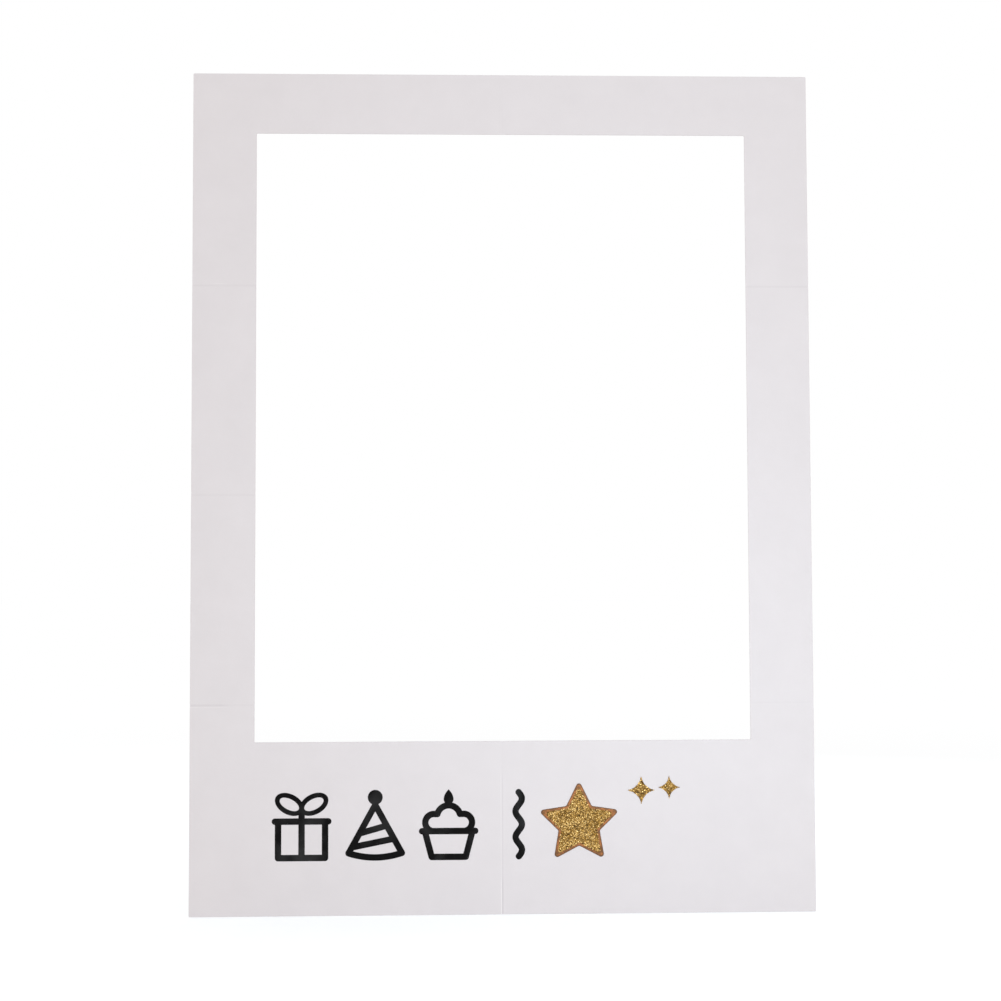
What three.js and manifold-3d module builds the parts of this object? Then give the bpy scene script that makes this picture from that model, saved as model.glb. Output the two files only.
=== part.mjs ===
// Photo booth frame: one sheet of white card, die-cut with a picture window and creased into two
// columns of four panels, so that it folds down to the size of one panel. The wide bottom border
// carries black foil motifs, a gold glitter star with a copper rim and two small glitter sparkles.
// Millimetres, +Z up, printed face towards -Y, origin at the middle of the bottom edge, halfway
// through the card.

import * as THREE from 'three';
import { mergeVertices } from 'three/addons/utils/BufferGeometryUtils.js';
import Module from 'manifold-3d';

const wasm = await Module();
wasm.setup();

// Driving dimensions of the sheet
const frameWidth = 590;
const frameHeight = 800;
const sideBorder = 60.5;
const topBorder = 58;
const bottomBorder = 162;
const cardThickness = 0.5;
const cutCornerRadius = 1;

// Driving dimensions of the creases. The book crease is wider, because the most layers lie inside
// it. The row creases lie a little below the quarters of the height, so that the bottom row, which
// the others fold round, is the shortest and the top row, which lies outside, is the longest
const rowCount = 4;
const rowCreaseWidth = 4;
const rowCreaseDrop = 4;
const bookCreaseWidth = 6;

// Driving dimensions of the black foil motifs. They are placed from the book crease outwards and
// from the window's lower edge downwards, so that they stay on the bottom border
const foilThickness = 0.15;
const foilStroke = 6;
const bowStroke = 4.6;
const strokeEndShort = 1.5;
const foilMotifHeight = 66;
const foilMotifWidth = 56;
const foilMotifGap = 13;
const foilFromCrease = 21;
const motifBelowWindow = 45;
const streamerWidth = 12;
const streamerFromCrease = 5;

// Driving dimensions of the gold glitter motifs
const rimThickness = 0.15;
const glitterThickness = 0.25;
const starRadius = 41;
const starRimWidth = 2.6;
const starFromStreamer = 10;
const starPoints = 5;
const starWaist = 0.5;
const starTipRadius = 2.6;
const sparkles = [{ name: 'near_sparkle', radius: 13 }, { name: 'far_sparkle', radius: 10.5 }];
const sparkleWaist = 0.17;
const sparkleFromStar = 5;
const sparkleGap = 3;
const sparkleBelowWindow = 34;

// Smoothness of the round stretches, and the shortest edge that an outline keeps
const arcSteps = 8;
const curveSteps = 28;
const weldDistance = 0.02;

const rowHeight = frameHeight / rowCount;
const cutDepth = 3 * cardThickness;
const creaseHalf = bookCreaseWidth / 2;
const motifBaseHeight = bottomBorder - motifBelowWindow - foilMotifHeight;
const rowNames = ['bottom', 'lower', 'upper', 'top'];
const foldNames = ['lower_fold', 'middle_fold', 'upper_fold'];
const sides = [{ name: 'left', sign: -1 }, { name: 'right', sign: 1 }];

// Finishes

function whiteCard() {
  return new THREE.MeshStandardMaterial({ color: '#e9e5e6', roughness: 0.6, metalness: 0 });
}

function creasedCard() {
  return new THREE.MeshStandardMaterial({ color: '#dedadb', roughness: 0.65, metalness: 0 });
}

function blackFoil() {
  return new THREE.MeshStandardMaterial({ color: '#15181c', roughness: 0.3, metalness: 0.1 });
}

function copperFoil() {
  return new THREE.MeshStandardMaterial({ color: '#a9672f', roughness: 0.35, metalness: 0.85 });
}

function goldGlitter() {
  return new THREE.MeshStandardMaterial({ color: '#b98d3a', roughness: 0.5, metalness: 0.7 });
}

// Solids: shapes are extruded, and joined or cut as closed solids

function toSolid(geometry) {
  const bare = geometry.clone();
  bare.deleteAttribute('normal');
  bare.deleteAttribute('uv');
  const merged = mergeVertices(bare);
  const mesh = new wasm.Mesh({
    numProp: 3,
    vertProperties: Float32Array.from(merged.attributes.position.array),
    triVerts: Uint32Array.from(merged.index.array),
  });
  return new wasm.Manifold(mesh);
}

function toGeometry(solid) {
  const mesh = solid.getMesh();
  const geometry = new THREE.BufferGeometry();
  geometry.setAttribute('position', new THREE.BufferAttribute(mesh.vertProperties, 3));
  geometry.setIndex(new THREE.BufferAttribute(mesh.triVerts, 1));
  return welded(geometry);
}

// Closes up the edges, shorter than the weld distance, that are left where outlines cross
function welded(geometry) {
  const merged = mergeVertices(geometry, weldDistance);
  const corners = Array.from(merged.index.array);
  const triangles = Array.from({ length: corners.length / 3 }, (_, i) => corners.slice(3 * i, 3 * i + 3));
  merged.setIndex(triangles.filter((triangle) => new Set(triangle).size === 3).flat());
  merged.computeVertexNormals();
  return merged;
}

function extrude(shape, depth) {
  return new THREE.ExtrudeGeometry(shape, { depth, bevelEnabled: false, curveSegments: arcSteps });
}

function joined(shapes, depth) {
  const solids = shapes.map((shape) => toSolid(extrude(shape, depth)));
  return toGeometry(solids.reduce((whole, solid) => whole.add(solid)));
}

function boxBetween(low, high) {
  const box = new THREE.BoxGeometry(high.x - low.x, high.y - low.y, cutDepth);
  box.translate((low.x + high.x) / 2, (low.y + high.y) / 2, 0);
  return toSolid(box);
}

// Outlines

// Straight sides through the corners, each corner rounded by its own radius
function roundedOutline(corners) {
  const shape = new THREE.Shape();
  corners.forEach(({ point, radius }, i) => {
    const before = corners[(i + corners.length - 1) % corners.length].point;
    const after = corners[(i + 1) % corners.length].point;
    const toBefore = before.clone().sub(point).normalize();
    const toAfter = after.clone().sub(point).normalize();
    const halfAngle = Math.acos(toBefore.dot(toAfter)) / 2;
    const bisector = toBefore.clone().add(toAfter).normalize();
    const centre = point.clone().addScaledVector(bisector, radius / Math.sin(halfAngle));
    const tangentLength = radius / Math.tan(halfAngle);
    const start = point.clone().addScaledVector(toBefore, tangentLength).sub(centre).angle();
    const end = point.clone().addScaledVector(toAfter, tangentLength).sub(centre).angle();
    const clockwise = toBefore.cross(toAfter) > 0;
    shape.absarc(centre.x, centre.y, radius, start, end, clockwise);
  });
  shape.closePath();
  return shape;
}

function roundedRectangle(low, high, radius) {
  const points = [[low.x, low.y], [high.x, low.y], [high.x, high.y], [low.x, high.y]];
  return roundedOutline(points.map(([x, y]) => ({ point: new THREE.Vector2(x, y), radius })));
}

// A pen stroke of even width with round ends, along any flat curve
function stroke(curve, steps) {
  const half = foilStroke / 2;
  const centres = Array.from({ length: steps + 1 }, (_, i) => curve.getPoint(i / steps));
  const headings = centres.map((_, i) => curve.getTangent(i / steps).angle());
  const beside = (i, turn) => new THREE.Vector2(
    centres[i].x + half * Math.cos(headings[i] + turn),
    centres[i].y + half * Math.sin(headings[i] + turn),
  );
  const quarter = Math.PI / 2;
  const shape = new THREE.Shape();
  for (let i = 0; i < steps; i += 1) {
    const point = beside(i, -quarter);
    if (i === 0) shape.moveTo(point.x, point.y);
    else shape.lineTo(point.x, point.y);
  }
  const last = headings[steps];
  shape.absarc(centres[steps].x, centres[steps].y, half, last - quarter, last + quarter, false);
  for (let i = steps - 1; i > 0; i -= 1) {
    const point = beside(i, quarter);
    shape.lineTo(point.x, point.y);
  }
  const first = headings[0];
  shape.absarc(centres[0].x, centres[0].y, half, first + quarter, first + 3 * quarter, false);
  shape.closePath();
  return shape;
}

function straight(fromX, fromY, toX, toY) {
  const line = new THREE.LineCurve(new THREE.Vector2(fromX, fromY), new THREE.Vector2(toX, toY));
  return stroke(line, 1);
}

function arc(centreX, centreY, radius, fromDegrees, toDegrees) {
  const from = THREE.MathUtils.degToRad(fromDegrees);
  const to = THREE.MathUtils.degToRad(toDegrees);
  const curve = new THREE.EllipseCurve(centreX, centreY, radius, radius, from, to, false);
  return stroke(curve, curveSteps / 2);
}

function dot(centreX, centreY, radius) {
  const shape = new THREE.Shape();
  shape.absarc(centreX, centreY, radius, 0, Math.PI * 2, false);
  return shape;
}

// A candle flame: round below, drawn out to a point above
function flame(top, half) {
  const centre = top - 2 * half;
  const shape = new THREE.Shape();
  shape.moveTo(0, top);
  shape.quadraticCurveTo(-half, centre + half, -half, centre);
  shape.absarc(0, centre, half, Math.PI, 2 * Math.PI, false);
  shape.quadraticCurveTo(half, centre + half, 0, top);
  return shape;
}

// An oval loop of even width, leaning by a number of degrees
function loop(centreX, centreY, radiusX, radiusY, leanDegrees) {
  const lean = THREE.MathUtils.degToRad(leanDegrees);
  const innerX = radiusX - bowStroke;
  const innerY = radiusY - bowStroke;
  const shape = new THREE.Shape();
  const hole = new THREE.Path();
  shape.absellipse(centreX, centreY, radiusX, radiusY, 0, Math.PI * 2, false, lean);
  hole.absellipse(centreX, centreY, innerX, innerY, 0, Math.PI * 2, true, lean);
  shape.holes.push(hole);
  return shape;
}

// Motifs, each drawn about the middle of its own base line

function giftBox() {
  const edge = foilStroke / 2;
  const half = foilMotifWidth / 2;
  const lidOverhang = 3;
  const bodyHalf = half - edge - lidOverhang;
  const lidHeight = 0.56 * foilMotifHeight;
  const bowFromTop = 13;
  const bowHeight = foilMotifHeight - bowFromTop;
  const bowLong = 14.5;
  const bowShort = 9.5;
  const bowFromMiddle = 11.5;
  const bowLean = 28;
  return [
    straight(-bodyHalf, edge, bodyHalf, edge),
    straight(-bodyHalf, edge, -bodyHalf, lidHeight - strokeEndShort),
    straight(bodyHalf, edge, bodyHalf, lidHeight - strokeEndShort),
    straight(edge - half, lidHeight, half - edge, lidHeight),
    straight(0, edge + strokeEndShort, 0, bowHeight - foilStroke),
    loop(-bowFromMiddle, bowHeight, bowLong, bowShort, -bowLean),
    loop(bowFromMiddle, bowHeight, bowLong, bowShort, bowLean),
  ];
}

function partyHat() {
  const edge = foilStroke / 2;
  const half = foilMotifWidth / 2 - edge;
  const pompomRadius = 7;
  const brimRise = 4;
  const foot = edge + brimRise;
  const peak = foilMotifHeight - 2 * pompomRadius;
  const stripes = [{ low: 0.13, high: 0.29 }, { low: 0.42, high: 0.56 }];
  const side = (share, sign) => new THREE.Vector2(
    sign * ((1 - share) * half - strokeEndShort),
    foot + share * (peak - foot),
  );
  const brim = new THREE.QuadraticBezierCurve(
    new THREE.Vector2(-half, foot),
    new THREE.Vector2(0, edge - brimRise),
    new THREE.Vector2(half, foot),
  );
  return [
    stroke(brim, curveSteps / 2),
    straight(-half, foot, 0, peak),
    straight(half, foot, 0, peak),
    dot(0, foilMotifHeight - pompomRadius, pompomRadius),
    ...stripes.map(({ low, high }) => stroke(new THREE.LineCurve(side(low, -1), side(high, 1)), 1)),
  ];
}

function cupcake() {
  const edge = foilStroke / 2;
  const half = foilMotifWidth / 2 - edge;
  const rimHeight = 0.41 * foilMotifHeight;
  const rimOverhang = 3;
  const caseTaper = 6;
  const rimHalf = half - rimOverhang;
  const baseHalf = rimHalf - caseTaper;
  const sideBump = 8;
  const topBump = 11;
  const topBumpRise = 5;
  const bumpFrom = 80;
  const bumpTo = 250;
  const topFrom = 15;
  const halfTurn = 180;
  const bumpHeight = rimHeight + sideBump;
  const domeHeight = bumpHeight + topBumpRise;
  const flameHalf = 0.07 * foilMotifHeight;
  const candleTop = foilMotifHeight - 3 * flameHalf;
  return [
    straight(-baseHalf, edge, baseHalf, edge),
    straight(-baseHalf, edge, -rimHalf, rimHeight - strokeEndShort),
    straight(baseHalf, edge, rimHalf, rimHeight - strokeEndShort),
    straight(-half, rimHeight, half, rimHeight),
    arc(sideBump - rimHalf, bumpHeight, sideBump, bumpFrom, bumpTo),
    arc(rimHalf - sideBump, bumpHeight, sideBump, halfTurn - bumpTo, halfTurn - bumpFrom),
    arc(0, domeHeight, topBump, topFrom, halfTurn - topFrom),
    straight(0, domeHeight + topBump, 0, candleTop),
    flame(foilMotifHeight, flameHalf),
  ];
}

// A curled paper streamer: a sine wave standing on its end
class Streamer extends THREE.Curve {
  getPoint(t) {
    const waves = 2.5;
    const edge = foilStroke / 2;
    const swing = streamerWidth / 2 - edge;
    const y = edge + t * (foilMotifHeight - foilStroke);
    return new THREE.Vector2(swing * Math.sin(2 * Math.PI * waves * t), y);
  }
}

function streamer() {
  return [stroke(new Streamer(), curveSteps * 2)];
}

// Five-pointed star with rounded points; inset moves every side inwards by the same distance
function star(inset) {
  const step = Math.PI / starPoints;
  const waist = starRadius * starWaist;
  const sideLength = Math.hypot(starRadius - waist * Math.cos(step), waist * Math.sin(step));
  const sideFromCentre = (starRadius * waist * Math.sin(step)) / sideLength;
  const scale = (sideFromCentre - inset) / sideFromCentre;
  const corners = Array.from({ length: 2 * starPoints }, (_, i) => {
    const reach = (i % 2 === 0 ? starRadius : waist) * scale;
    const angle = Math.PI / 2 + i * step;
    const point = new THREE.Vector2(reach * Math.cos(angle), reach * Math.sin(angle));
    return { point, radius: starTipRadius * scale };
  });
  return roundedOutline(corners);
}

// Four-pointed sparkle with hollow sides
function sparkle(radius) {
  const waist = radius * sparkleWaist;
  const shape = new THREE.Shape();
  shape.moveTo(0, radius);
  shape.quadraticCurveTo(waist, waist, radius, 0);
  shape.quadraticCurveTo(waist, -waist, 0, -radius);
  shape.quadraticCurveTo(-waist, -waist, -radius, 0);
  shape.quadraticCurveTo(-waist, waist, 0, radius);
  return shape;
}

function piece(name, geometry, material) {
  const mesh = new THREE.Mesh(geometry, material);
  mesh.name = name;
  return mesh;
}

// The sheet, with its window, before it is divided along the creases
function dieCutSheet() {
  const half = frameWidth / 2;
  const outline = roundedRectangle(
    new THREE.Vector2(-half, 0),
    new THREE.Vector2(half, frameHeight),
    cutCornerRadius,
  );
  const window = roundedRectangle(
    new THREE.Vector2(sideBorder - half, bottomBorder),
    new THREE.Vector2(half - sideBorder, frameHeight - topBorder),
    cutCornerRadius,
  );
  const hole = extrude(window, cutDepth).translate(0, 0, -cutDepth / 2);
  const blank = extrude(outline, cardThickness).translate(0, 0, -cardThickness / 2);
  return toSolid(blank).subtract(toSolid(hole));
}

// The part of the sheet between two heights and two distances from the middle line, on one side
function cutFromSheet(sheet, sign, inner, outer, bottom, top) {
  const low = new THREE.Vector2(sign > 0 ? inner : -outer, bottom);
  const high = new THREE.Vector2(sign > 0 ? outer : -inner, top);
  return toGeometry(sheet.intersect(boxBetween(low, high)));
}

// Height of the middle of a row crease, counted from the lowest one as number 1
function creaseHeight(number) {
  return number * rowHeight - rowCreaseDrop;
}

function panels(sheet, { name, sign }) {
  const column = new THREE.Group();
  rowNames.forEach((row, i) => {
    const bottom = i === 0 ? 0 : creaseHeight(i) + rowCreaseWidth / 2;
    const top = i === rowCount - 1 ? frameHeight : creaseHeight(i + 1) - rowCreaseWidth / 2;
    const cell = cutFromSheet(sheet, sign, creaseHalf, frameWidth / 2, bottom, top);
    column.add(piece(`${row}_${name}_panel`, cell, whiteCard()));
  });
  return column;
}

function rowCreases(sheet, { name, sign }) {
  const column = new THREE.Group();
  foldNames.forEach((fold, i) => {
    const bottom = creaseHeight(i + 1) - rowCreaseWidth / 2;
    const top = creaseHeight(i + 1) + rowCreaseWidth / 2;
    const strip = cutFromSheet(sheet, sign, creaseHalf, frameWidth / 2, bottom, top);
    column.add(piece(`${fold}_crease_${name}`, strip, creasedCard()));
  });
  return column;
}

// The book crease runs across both borders; at the top it is open along its middle line
function bookCreases(sheet) {
  const group = new THREE.Group();
  const windowTop = frameHeight - topBorder;
  const low = new THREE.Vector2(-creaseHalf, 0);
  const high = new THREE.Vector2(creaseHalf, bottomBorder);
  const bottomStrip = toGeometry(sheet.intersect(boxBetween(low, high)));
  group.add(piece('book_fold_crease_bottom', bottomStrip, creasedCard()));
  sides.forEach(({ name, sign }) => {
    const strip = cutFromSheet(sheet, sign, 0, creaseHalf, windowTop, frameHeight);
    group.add(piece(`book_fold_crease_top_${name}`, strip, creasedCard()));
  });
  return group;
}

// The three picture motifs stand in a row left of the book crease, the streamer just right of it
function foilMotifs() {
  const group = new THREE.Group();
  const drawn = { cupcake_motif: cupcake, party_hat_motif: partyHat, gift_box_motif: giftBox };
  Object.entries(drawn).forEach(([name, draw], i) => {
    const motif = piece(name, joined(draw(), foilThickness), blackFoil());
    const inner = creaseHalf + foilFromCrease + i * (foilMotifWidth + foilMotifGap);
    motif.position.set(-inner - foilMotifWidth / 2, motifBaseHeight, 0);
    group.add(motif);
  });
  const ribbon = piece('streamer_motif', joined(streamer(), foilThickness), blackFoil());
  ribbon.position.set(creaseHalf + streamerFromCrease + streamerWidth / 2, motifBaseHeight, 0);
  group.add(ribbon);
  return group;
}

// The glitter star lies on its copper rim, and the sparkles follow it to the right
function glitterMotifs() {
  const group = new THREE.Group();
  const starLeft = creaseHalf + streamerFromCrease + streamerWidth + starFromStreamer;
  const centreHeight = motifBaseHeight + foilMotifHeight / 2;
  const rim = piece('star_rim', extrude(star(0), rimThickness), copperFoil());
  const fill = piece('star_glitter', extrude(star(starRimWidth), glitterThickness), goldGlitter());
  rim.position.set(starLeft + starRadius, centreHeight, 0);
  fill.position.set(starLeft + starRadius, centreHeight, rimThickness);
  group.add(rim, fill);
  let left = starLeft + 2 * starRadius + sparkleFromStar;
  sparkles.forEach(({ name, radius }) => {
    const small = piece(name, extrude(sparkle(radius), glitterThickness), goldGlitter());
    small.position.set(left + radius, bottomBorder - sparkleBelowWindow - radius, 0);
    left += 2 * radius + sparkleGap;
    group.add(small);
  });
  return group;
}

// The frame is drawn lying flat, printed face up, and then stood up on its bottom edge
const frame = new THREE.Group();
const sheet = dieCutSheet();
sides.forEach((side) => frame.add(panels(sheet, side), rowCreases(sheet, side)));
frame.add(bookCreases(sheet));
const print = new THREE.Group();
print.add(foilMotifs(), glitterMotifs());
print.position.z = cardThickness / 2;
frame.add(print);
frame.rotation.x = Math.PI / 2;

export default frame;
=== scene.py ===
"""Looks of a folding photo booth frame: one creased card sheet with foil and glitter motifs.

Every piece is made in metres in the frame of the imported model: +Z up, printed face towards -Y,
origin at the middle of the bottom edge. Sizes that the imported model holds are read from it, and the
finer sizes that only show in the finish are fields of the classes below, in millimetres.
"""

import logging
import math
from abc import ABC, abstractmethod
from collections.abc import Sequence
from dataclasses import dataclass, field
from enum import Enum, IntEnum

import bmesh
import bpy
import numpy as np
from mathutils import Matrix, Vector
from mathutils.geometry import delaunay_2d_cdt


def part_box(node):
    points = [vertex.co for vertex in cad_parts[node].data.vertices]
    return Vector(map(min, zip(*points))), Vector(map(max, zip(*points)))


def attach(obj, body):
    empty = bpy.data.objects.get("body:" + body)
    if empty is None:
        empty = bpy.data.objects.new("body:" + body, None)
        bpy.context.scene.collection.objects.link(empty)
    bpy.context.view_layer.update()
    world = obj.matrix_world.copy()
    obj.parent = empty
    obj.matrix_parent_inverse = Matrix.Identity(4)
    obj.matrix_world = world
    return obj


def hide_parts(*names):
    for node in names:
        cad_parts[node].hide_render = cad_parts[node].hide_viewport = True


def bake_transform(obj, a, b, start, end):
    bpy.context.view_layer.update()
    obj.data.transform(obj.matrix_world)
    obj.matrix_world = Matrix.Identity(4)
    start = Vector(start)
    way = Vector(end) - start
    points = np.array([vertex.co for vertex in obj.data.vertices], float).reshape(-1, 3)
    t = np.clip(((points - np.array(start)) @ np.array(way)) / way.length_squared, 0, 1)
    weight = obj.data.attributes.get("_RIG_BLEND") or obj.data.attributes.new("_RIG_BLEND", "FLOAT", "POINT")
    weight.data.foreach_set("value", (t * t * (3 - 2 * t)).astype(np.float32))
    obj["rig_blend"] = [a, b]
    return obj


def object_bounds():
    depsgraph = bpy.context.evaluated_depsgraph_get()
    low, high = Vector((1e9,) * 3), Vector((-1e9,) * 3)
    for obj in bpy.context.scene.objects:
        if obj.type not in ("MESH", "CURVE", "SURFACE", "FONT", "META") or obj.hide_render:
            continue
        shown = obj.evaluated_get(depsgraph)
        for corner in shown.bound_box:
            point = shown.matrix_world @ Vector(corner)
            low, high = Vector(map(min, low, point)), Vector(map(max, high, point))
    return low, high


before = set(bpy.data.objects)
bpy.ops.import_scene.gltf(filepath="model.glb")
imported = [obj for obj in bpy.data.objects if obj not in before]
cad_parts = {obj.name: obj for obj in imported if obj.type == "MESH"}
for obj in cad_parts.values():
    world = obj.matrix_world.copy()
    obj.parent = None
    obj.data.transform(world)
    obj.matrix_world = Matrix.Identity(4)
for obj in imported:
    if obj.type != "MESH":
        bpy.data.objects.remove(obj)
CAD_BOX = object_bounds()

log = logging.getLogger("photo_booth_frame")

MM = 0.001
# Paper fibre and lacquer both bend light about as glass does
FIBRE_IOR = 1.5
LACQUER_IOR = 1.5
# The mesh attributes of a crease: the place across it, and the strength there of its painted highlight,
# which is partly rubbed coating, and of its painted shade, which is partly dust
ACROSS = "across"
WEAR_AND_SHADING_KINDS = ("scuff_and_highlight", "shaded")
# Points along a straight stroke, and steps along a curved one
LINE_POINTS = 4
CURVE_STEPS = 28
# Points of an outline that lie nearer than this, in millimetres, are one
SAME_POINT_MM = 1e-4
# Part of a face's normal below which the face counts as standing up
SLOPE_LIMIT = 0.5

# Short names of types
Colour = tuple[float, float, float, float]
ColourStops = Sequence[tuple[float, Colour]]
Point = tuple[float, float]
Place = tuple[float, float, float]
Stops = tuple[Point, ...]
Loop = np.ndarray
Tree = bpy.types.NodeTree
Node = bpy.types.Node
Socket = bpy.types.NodeSocket
Piece = bpy.types.Object
BuiltMesh = bmesh.types.BMesh
Vert = bmesh.types.BMVert
Edge = bmesh.types.BMEdge


def srgb(code: str) -> Colour:
    """Turns six hex digits after a hash sign, in sRGB, into the linear colour that a shader takes."""
    parts = [int(code[i : i + 2], 16) / 255 for i in (1, 3, 5)]
    return (*(p / 12.92 if p <= 0.04045 else ((p + 0.055) / 1.055) ** 2.4 for p in parts), 1.0)


def add_node(
    tree: Tree, kind: str, inputs: dict | None = None, stops: ColourStops = (), **settings
) -> Node:
    """Adds one node to a tree, with its settings and its inputs set or linked.

    Args:
        tree: Shader or geometry node tree.
        kind: Type name of the node.
        inputs: Socket name or index to its value, or to the output socket that feeds it.
        stops: Position and colour of each stop, where the node is a colour ramp.
        **settings: Properties of the node itself.

    Returns:
        The new node.
    """
    node = tree.nodes.new(kind)
    for name, value in settings.items():
        setattr(node, name, value)
    for key, value in (inputs or {}).items():
        if isinstance(value, Socket):
            tree.links.new(value, node.inputs[key])
        else:
            node.inputs[key].default_value = value
    for number, (position, colour) in enumerate(stops):
        elements = node.color_ramp.elements
        if number == len(elements):
            elements.new(1.0)
        elements[number].position = position
        elements[number].color = colour
    return node


# Finishes


@dataclass(frozen=True)
class Pattern:
    """A random pattern of a real size, fixed to its piece.

    finer_layers is how many layers of finer pattern lie on it, each finer_share as strong as the one
    before. stretch is its scale along each axis: less than 1 draws it out.
    """

    size_mm: float
    finer_layers: float
    finer_share: float = 0.6
    stretch: Place = (1.0, 1.0, 1.0)

    def build(self, tree: Tree) -> Socket:
        """Builds the pattern in a node tree.

        Args:
            tree: The node tree of a finish.

        Returns:
            The socket that holds it, from 0 to 1.
        """
        place = add_node(tree, "ShaderNodeTexCoord").outputs["Object"]
        drawn = add_node(tree, "ShaderNodeMapping", {"Vector": place, "Scale": self.stretch})
        values = {"Vector": drawn.outputs["Vector"], "Scale": 1 / (self.size_mm * MM)}
        values |= {"Detail": self.finer_layers, "Roughness": self.finer_share}
        return add_node(tree, "ShaderNodeTexNoise", values).outputs["Fac"]


@dataclass(frozen=True)
class Finish(ABC):
    """A surface finish, made as one node material and shared by the pieces that have it."""

    name: str

    @abstractmethod
    def shader(self, tree: Tree) -> Node:
        """Builds the finish in its node tree and returns the shader node."""

    def material(self) -> bpy.types.Material:
        """The material of this finish, made the first time that it is asked for.

        Returns:
            The material.
        """
        made = bpy.data.materials.get(self.name)
        if made is not None:
            return made
        made = bpy.data.materials.new(self.name)
        made.use_nodes = True
        tree = made.node_tree
        tree.nodes.clear()
        add_node(tree, "ShaderNodeOutputMaterial", {"Surface": self.shader(tree).outputs[0]})
        return made


@dataclass(frozen=True)
class Card(Finish):
    """Paperboard: pressed fibre whose clouds of density and fine tooth keep it from looking flat.

    Real tooth is about a tenth of a millimetre wide, and is drawn coarser so that it shows.
    """

    light: str
    dark: str
    roughness: float
    clouds: Pattern = Pattern(38.0, 3.0)
    tooth: Pattern = Pattern(1.6, 5.0)
    tooth_depth_mm: float = 0.012
    tooth_tone: float = 0.35
    tooth_gloss: float = 0.06
    tone_range: Point = (0.4, 0.95)

    def colour(self, tree: Tree, tooth: Socket) -> Socket:
        """Builds the colour of the board.

        Args:
            tree: The node tree of the finish.
            tooth: The fine pattern of the surface.

        Returns:
            The socket that holds the colour.
        """
        values = {0: tooth, 1: self.tooth_tone, 2: self.clouds.build(tree)}
        tone = add_node(tree, "ShaderNodeMath", values, operation="MULTIPLY_ADD").outputs["Value"]
        stops = list(zip(self.tone_range, (srgb(self.dark), srgb(self.light))))
        return add_node(tree, "ShaderNodeValToRGB", {"Fac": tone}, stops).outputs["Color"]

    def shader(self, tree: Tree) -> Node:
        """Builds clouded, toothed board.

        Args:
            tree: The node tree of the finish.

        Returns:
            The shader node.
        """
        tooth = self.tooth.build(tree)
        bump = add_node(tree, "ShaderNodeBump", {"Height": tooth, "Distance": self.tooth_depth_mm * MM})
        least, most = self.roughness - self.tooth_gloss, self.roughness + self.tooth_gloss
        rough = add_node(tree, "ShaderNodeMapRange", {"Value": tooth, "To Min": least, "To Max": most})
        values = {"Base Color": self.colour(tree, tooth), "Roughness": rough.outputs["Result"]}
        values |= {"Normal": bump.outputs["Normal"], "IOR": FIBRE_IOR}
        return add_node(tree, "ShaderNodeBsdfPrincipled", values)


@dataclass(frozen=True)
class CreasedCard(Card):
    """Board along a crease: a pale band of painted highlight and rubbing, a grey one of painted shade and
    dust.

    Three mesh attributes drive it: the place across the strip, from 0 to 1, and how much each band
    shows. A band is its strength at places across the strip.
    """

    # Pale band of painted highlight, partly rubbed coating, and grey band of painted shade, partly dust
    scuff_and_highlight_band: Stops = ((0.05, 0.0), (0.25, 1.0), (0.45, 0.0))
    shade: Stops = ((0.4, 0.0), (0.6, 1.0), (0.9, 1.0), (1.0, 0.3))
    scuff_and_highlight_tone: str = "#F8F6F8"
    shade_tone: str = "#CFCACF"
    patches: Pattern = Pattern(6.0, 4.0)
    patch_range: Point = (0.3, 0.6)
    least_patch: float = 0.7

    def colour(self, tree: Tree, tooth: Socket) -> Socket:
        """Builds the colour of the board with its painted highlight and painted shade.

        Args:
            tree: The node tree of the finish.
            tooth: The fine pattern of the surface.

        Returns:
            The socket that holds the colour.
        """
        across = add_node(tree, "ShaderNodeAttribute", attribute_name=ACROSS).outputs["Fac"]
        thin, thick = self.patch_range
        limits = {"From Min": thin, "From Max": thick, "To Min": self.least_patch}
        uneven = add_node(tree, "ShaderNodeMapRange", {"Value": self.patches.build(tree), **limits})
        board = super().colour(tree, tooth)
        # The painted highlight band first, then the painted shade band, over the board
        bands = ((self.scuff_and_highlight_band, self.scuff_and_highlight_tone), (self.shade, self.shade_tone))
        for wear_and_shading, (stops, tone) in zip(WEAR_AND_SHADING_KINDS, bands):
            shown = add_node(tree, "ShaderNodeAttribute", attribute_name=wear_and_shading).outputs["Fac"]
            greys = [(position, (level, level, level, 1.0)) for position, level in stops]
            band = add_node(tree, "ShaderNodeValToRGB", {"Fac": across}, greys)
            for part in (band.outputs["Color"], uneven.outputs["Result"]):
                scaled = add_node(tree, "ShaderNodeMath", {0: shown, 1: part}, operation="MULTIPLY")
                shown = scaled.outputs["Value"]
            values = {"Factor": shown, 6: board, 7: srgb(tone)}
            board = add_node(tree, "ShaderNodeMix", values, data_type="RGBA").outputs[2]
        return board


@dataclass(frozen=True)
class CutEdge(Finish):
    """The die-cut edge of the board: pressed plies, a little greyer than the face."""

    light: str
    dark: str
    plies: Pattern = Pattern(0.12, 3.0, 0.5, (0.08, 1.0, 0.08))
    ply_range: Point = (0.3, 0.7)
    roughness: float = 0.9

    def shader(self, tree: Tree) -> Node:
        """Builds plies that are drawn out along the edge.

        Args:
            tree: The node tree of the finish.

        Returns:
            The shader node.
        """
        stops = list(zip(self.ply_range, (srgb(self.dark), srgb(self.light))))
        colour = add_node(tree, "ShaderNodeValToRGB", {"Fac": self.plies.build(tree)}, stops)
        values = {"Base Color": colour.outputs["Color"], "Roughness": self.roughness, "IOR": FIBRE_IOR}
        return add_node(tree, "ShaderNodeBsdfPrincipled", values)


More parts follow.
